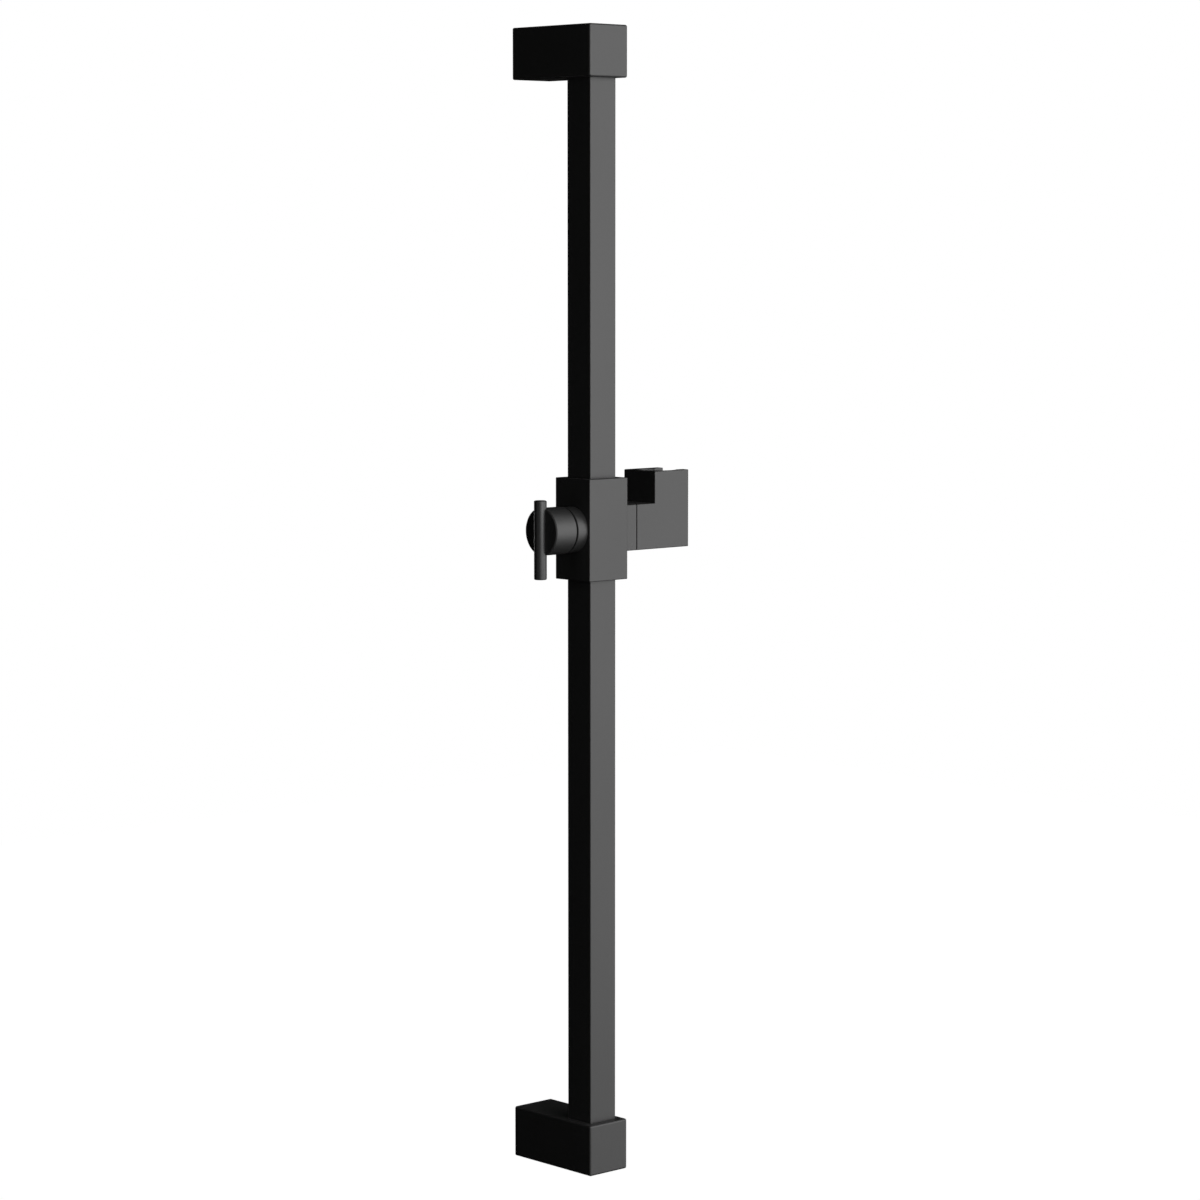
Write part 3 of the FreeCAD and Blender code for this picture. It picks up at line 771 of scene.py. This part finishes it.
class RAIL_OT_thread_pivot_screw(bpy.types.Operator):
    """Shoulder screw with an M5 thread that the holder tilts on"""
    bl_idname = "rail.thread_pivot_screw"
    bl_label = "Thread the pivot screw"

    def execute(self, context):
        low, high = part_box("pivot_screw")
        centre = middle("pivot_screw")
        head_radius = (high.y - low.y) / 2
        head = 3.2 * MM
        shoulder_radius = 3.0 * MM
        shoulder_end = high.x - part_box("holder_boss")[1].x
        length = high.x - low.x
        thread = Thread(radius=2.5 * MM, pitch=0.8 * MM)
        rows = socket_rows(flats=4.0 * MM, depth=1.6 * MM, head_radius=head_radius,
                           edge=0.3 * MM)
        rows += [(-head, head_radius, 0), (-head, shoulder_radius, 0),
                 (-shoulder_end, shoulder_radius, 0)]
        rows += shank_rows(thread, -shoulder_end, -length, point=0.4 * MM)
        mesh = threaded(rows, thread, RIGHT, [Vector((high.x, centre.y, centre.z))],
                        steel(), start=-shoulder_end - 0.4 * MM, end=-length + 0.8 * MM)
        new_piece("shoulder_screw", mesh, "slider", ["pivot_screw"],
                  steel())
        return {"FINISHED"}


class RAIL_OT_thread_spindle(bpy.types.Operator):
    """Clamp spindle: an M6 thread, a flange that holds it endwise, and a stub that
    the knob is screwed on"""
    bl_idname = "rail.thread_spindle"
    bl_label = "Thread the spindle"

    def execute(self, context):
        low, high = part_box("clamp_spindle")
        centre = middle("clamp_spindle")
        length = high.x - low.x
        thread = Thread(radius=3.0 * MM, pitch=1.0 * MM)
        stub_bevel = 0.4 * MM
        ring_clearance = 0.1 * MM
        flange_radius = (high.y - low.y) / 2
        flange_height = 1.5 * MM
        flange_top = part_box("retaining_ring")[1].x + ring_clearance - low.x
        flange_base = flange_top + flange_height
        edge = 0.2 * MM
        rows = [(0, 0, 0), (0, thread.radius - stub_bevel, 0),
                (-stub_bevel, thread.radius, 0), (-flange_top, thread.radius, 0),
                (-flange_top, flange_radius - edge, 0),
                (-flange_top - edge, flange_radius, 0),
                (-flange_base + edge, flange_radius, 0),
                (-flange_base, flange_radius - edge, 0), (-flange_base, thread.core, 0)]
        rows += shank_rows(thread, -flange_base - 0.1 * MM, -length, point=0.5 * MM)
        mesh = threaded(rows, thread, LEFT, [Vector((low.x, centre.y, centre.z))],
                        brass(), start=-flange_base - 0.6 * MM, end=-length + 1.0 * MM)
        new_piece("spindle", mesh, "knob", ["clamp_spindle"], brass())
        return {"FINISHED"}


class RAIL_OT_rib_brake_pad(bpy.types.Operator):
    """Rubber pad with ribs across the rail, on the tip of the plunger"""
    bl_idname = "rail.rib_brake_pad"
    bl_label = "Rib the brake pad"

    def execute(self, context):
        parts = context.scene.rail_parts
        low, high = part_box("brake_pad")
        plate_edge = 0.25 * MM
        rib_inset = 0.2 * MM
        pitch = (high.z - low.z) / parts.pad_ribs
        radius = pitch / 2
        size = Vector((high.x - parts.pad_groove - low.x, high.y - low.y, high.z - low.z))
        plate = bmesh.new()
        bmesh.ops.create_cube(plate, size=1.0)
        bmesh.ops.scale(plate, vec=size, verts=plate.verts)
        bmesh.ops.translate(plate, vec=low + size / 2, verts=plate.verts)
        bmesh.ops.bevel(plate, geom=plate.edges, offset=plate_edge, segments=3,
                        affect="EDGES", profile=0.5)
        mesh = bpy.data.meshes.new("plate")
        plate.to_mesh(mesh)
        plate.free()
        rubber = material_for("pressed_rubber", rubber_material)
        first = Vector((high.x - radius, (low.y + high.y) / 2, low.z + radius))
        ribbed = grown(mesh, rib_tree(), {
            "Rib radius": radius, "Rib length": high.y - low.y - 2 * rib_inset,
            "Count": parts.pad_ribs, "First place": first,
            "Spacing": Vector((0, 0, pitch)), "Material": rubber})
        smooth_by_angle(ribbed)
        new_piece("ribbed_brake_pad", ribbed, "plunger", ["brake_pad"],
                  rubber)
        return {"FINISHED"}


class RAIL_OT_set_studio(bpy.types.Operator):
    """Camera, pale floor, softboxes, dark flags and a white surround"""
    bl_idname = "rail.set_studio"
    bl_label = "Set the studio"

    def execute(self, context):
        studio = context.scene.rail_studio
        context.scene.view_settings.view_transform = "Standard"
        place_camera(context.scene, studio)
        softbox("key_softbox", studio.key_power, degrees=40, reach=2.2, height=0.25,
                size=(1.7, 2.0))
        softbox("front_softbox", studio.front_power, degrees=-5, reach=2.5, height=0.45,
                size=(1.4, 1.1))
        softbox("back_softbox", studio.back_power, degrees=172, reach=1.5, height=0.0,
                size=(0.4, 0.8))
        softbox("left_softbox", studio.left_power, degrees=-88, reach=1.6, height=0.0,
                size=(0.5, 0.9))
        white_surround(context.scene, studio.world_strength)
        pale_floor(studio.floor_height)
        dark_flags()
        return {"FINISHED"}


# Studio

def place_camera(scene, studio):
    """Camera at the photograph's viewing angle."""
    data = bpy.data.cameras.new("camera")
    data.sensor_width = 36
    data.lens = studio.camera_lens
    data.clip_start = 0.05
    camera = bpy.data.objects.new("camera", data)
    camera.location = studio.camera_place
    camera.rotation_euler = studio.camera_turn
    scene.collection.objects.link(camera)
    scene.camera = camera


def softbox(name, power, degrees, reach, height, size):
    """Soft lamp that faces the rail's middle, so many degrees to the right of straight
    in front of it."""
    data = bpy.data.lights.new(name, "AREA")
    data.shape = "RECTANGLE"
    data.size, data.size_y = size
    data.energy = power
    lamp = bpy.data.objects.new(name, data)
    angle = math.radians(degrees)
    lamp.location = (reach * math.sin(angle), -reach * math.cos(angle), height)
    lamp.rotation_euler = (-lamp.location).to_track_quat("-Z", "Y").to_euler()
    lamp.visible_camera = False
    bpy.context.scene.collection.objects.link(lamp)


def seen_as_background(tree):
    """1 where the camera sees a surface straight, in a reflection or through glass, and
    0 where the surface only lights others."""
    path = add(tree, "ShaderNodeLightPath").outputs
    seen = add(tree, "ShaderNodeMath", {"operation": "MAXIMUM"},
               {0: path["Is Camera Ray"], 1: path["Is Glossy Ray"]}).outputs[0]
    return add(tree, "ShaderNodeMath", {"operation": "MAXIMUM"},
               {0: seen, 1: path["Is Transmission Ray"]}).outputs[0]


def white_surround(scene, strength):
    """White world for the camera and for reflections, and dim light from all round."""
    world = bpy.data.worlds.new("white_surround")
    world.use_nodes = True
    tree = world.node_tree
    tree.nodes.clear()
    shown = seen_as_background(tree)
    dim = add(tree, "ShaderNodeBackground", {"Color": WHITE, "Strength": strength})
    white = add(tree, "ShaderNodeBackground", {"Color": WHITE, "Strength": 1.0})
    mixed = add(tree, "ShaderNodeMixShader", None,
                {0: shown, 1: dim.outputs[0], 2: white.outputs[0]}).outputs[0]
    add(tree, "ShaderNodeOutputWorld", None, {"Surface": mixed})
    scene.world = world


def flat_panel(name, corners, material):
    """Flat four-sided piece of the studio."""
    mesh = bpy.data.meshes.new(name)
    mesh.from_pydata(corners, [], [(0, 1, 2, 3)])
    mesh.materials.append(material)
    panel = bpy.data.objects.new(name, mesh)
    bpy.context.scene.collection.objects.link(panel)
    return panel


def pale_floor(height):
    """Pale floor far below the rail. The camera and reflections see it about as white
    as the surround, and it still darkens where a shadow falls."""
    reach = 8.0
    speck_width = 400 * MM
    seen_level = 0.98
    material, tree, place = new_material("pale_floor_paint")
    speck = add(tree, "ShaderNodeTexNoise", {"Scale": 1 / speck_width, "Detail": 2.0},
                {"Vector": place}).outputs["Fac"]
    paint = add(tree, "ShaderNodeBsdfDiffuse", {"Color": linear("#e9e9e7")},
                {"Roughness": speck})
    level = add(tree, "ShaderNodeMath", {"operation": "MULTIPLY", 1: seen_level},
                {0: seen_as_background(tree)}).outputs[0]
    lift = add(tree, "ShaderNodeEmission", {"Color": WHITE}, {"Strength": level})
    both = add(tree, "ShaderNodeAddShader", None,
               {0: paint.outputs[0], 1: lift.outputs[0]}).outputs[0]
    add(tree, "ShaderNodeOutputMaterial", None, {"Surface": both})
    flat_panel("floor", [(-reach, -reach, height), (reach, -reach, height),
                         (reach, reach, height), (-reach, reach, height)], material)


def dark_flags():
    """Black felt flags beside, behind, above and below the rail, out of the camera's
    sight, which keep the sides that face away from the lamps dark."""
    nap_width = 2 * MM
    material, tree, place = new_material("black_felt")
    nap = add(tree, "ShaderNodeTexNoise", {"Scale": 1 / nap_width, "Detail": 2.0},
              {"Vector": place}).outputs["Fac"]
    colours = add(tree, "ShaderNodeMix",
                  {"data_type": "RGBA", FIRST_COLOUR: linear("#010101"),
                   SECOND_COLOUR: linear("#030303")}, {"Factor": nap})
    felt = add(tree, "ShaderNodeBsdfDiffuse", None,
               {"Color": colours.outputs[MIXED_COLOUR]})
    add(tree, "ShaderNodeOutputMaterial", None, {"Surface": felt.outputs[0]})
    foot = -1.6
    top = 3.2
    top_near = -0.9
    front_left = (-2.3, -2.4)
    back_left = (-2.0, 2.0)
    back_right = (2.0, 2.0)
    front_right = (2.6, -0.6)
    flags = {}
    for name, start, end in (("left_flag", front_left, back_left),
                             ("back_flag", back_left, back_right),
                             ("right_flag", back_right, front_right)):
        flags[name] = [(*start, foot), (*end, foot), (*end, top), (*start, top)]
    flags["top_flag"] = [(-2.2, 2.0, top), (*back_right, top), (2.6, top_near, top),
                         (-2.2, top_near, top)]
    flags["low_flag"] = [(-2.0, -2.2, foot), (2.0, -2.2, foot), (*back_right, foot),
                         (*back_left, foot)]
    for name, corners in flags.items():
        flat_panel(name, corners, material).visible_camera = False


# Add-on

class RAIL_PT_panel(bpy.types.Panel):
    """Sidebar panel with the rail's settings and steps"""
    bl_label = "Slide Rail"
    bl_idname = "RAIL_PT_panel"
    bl_space_type = "VIEW_3D"
    bl_region_type = "UI"
    bl_category = "Slide Rail"

    def draw(self, context):
        layout = self.layout
        for group in (context.scene.rail_finish, context.scene.rail_parts,
                      context.scene.rail_studio):
            box = layout.box()
            for name in group.bl_rna.properties.keys():
                if name not in ("rna_type", "name"):
                    box.prop(group, name)
        for step in STEPS:
            layout.operator(step.bl_idname)


GROUPS = (RailFinish, RailParts, RailStudio)
STEPS = (RAIL_OT_set_studio, RAIL_OT_coat_castings, RAIL_OT_coat_tube,
         RAIL_OT_coat_knob, RAIL_OT_turn_lever, RAIL_OT_finish_zinc,
         RAIL_OT_finish_metal, RAIL_OT_finish_nylon, RAIL_OT_thread_grub_screws,
         RAIL_OT_thread_rail_screws, RAIL_OT_thread_boss_screws,
         RAIL_OT_thread_rod_screws, RAIL_OT_thread_pivot_screw,
         RAIL_OT_thread_spindle, RAIL_OT_rib_brake_pad)
CLASSES = GROUPS + STEPS + (RAIL_PT_panel,)


def register():
    """Register the classes and give the scene its settings."""
    for item in CLASSES:
        bpy.utils.register_class(item)
    bpy.types.Scene.rail_finish = PointerProperty(type=RailFinish)
    bpy.types.Scene.rail_parts = PointerProperty(type=RailParts)
    bpy.types.Scene.rail_studio = PointerProperty(type=RailStudio)


def unregister():
    """Take the settings off the scene and unregister the classes."""
    del bpy.types.Scene.rail_studio
    del bpy.types.Scene.rail_parts
    del bpy.types.Scene.rail_finish
    for item in reversed(CLASSES):
        bpy.utils.unregister_class(item)


def main():
    """Register the add-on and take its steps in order."""
    register()
    for step in STEPS:
        group, name = step.bl_idname.split(".")
        getattr(getattr(bpy.ops, group), name)()


if __name__ == "__main__":
    main()
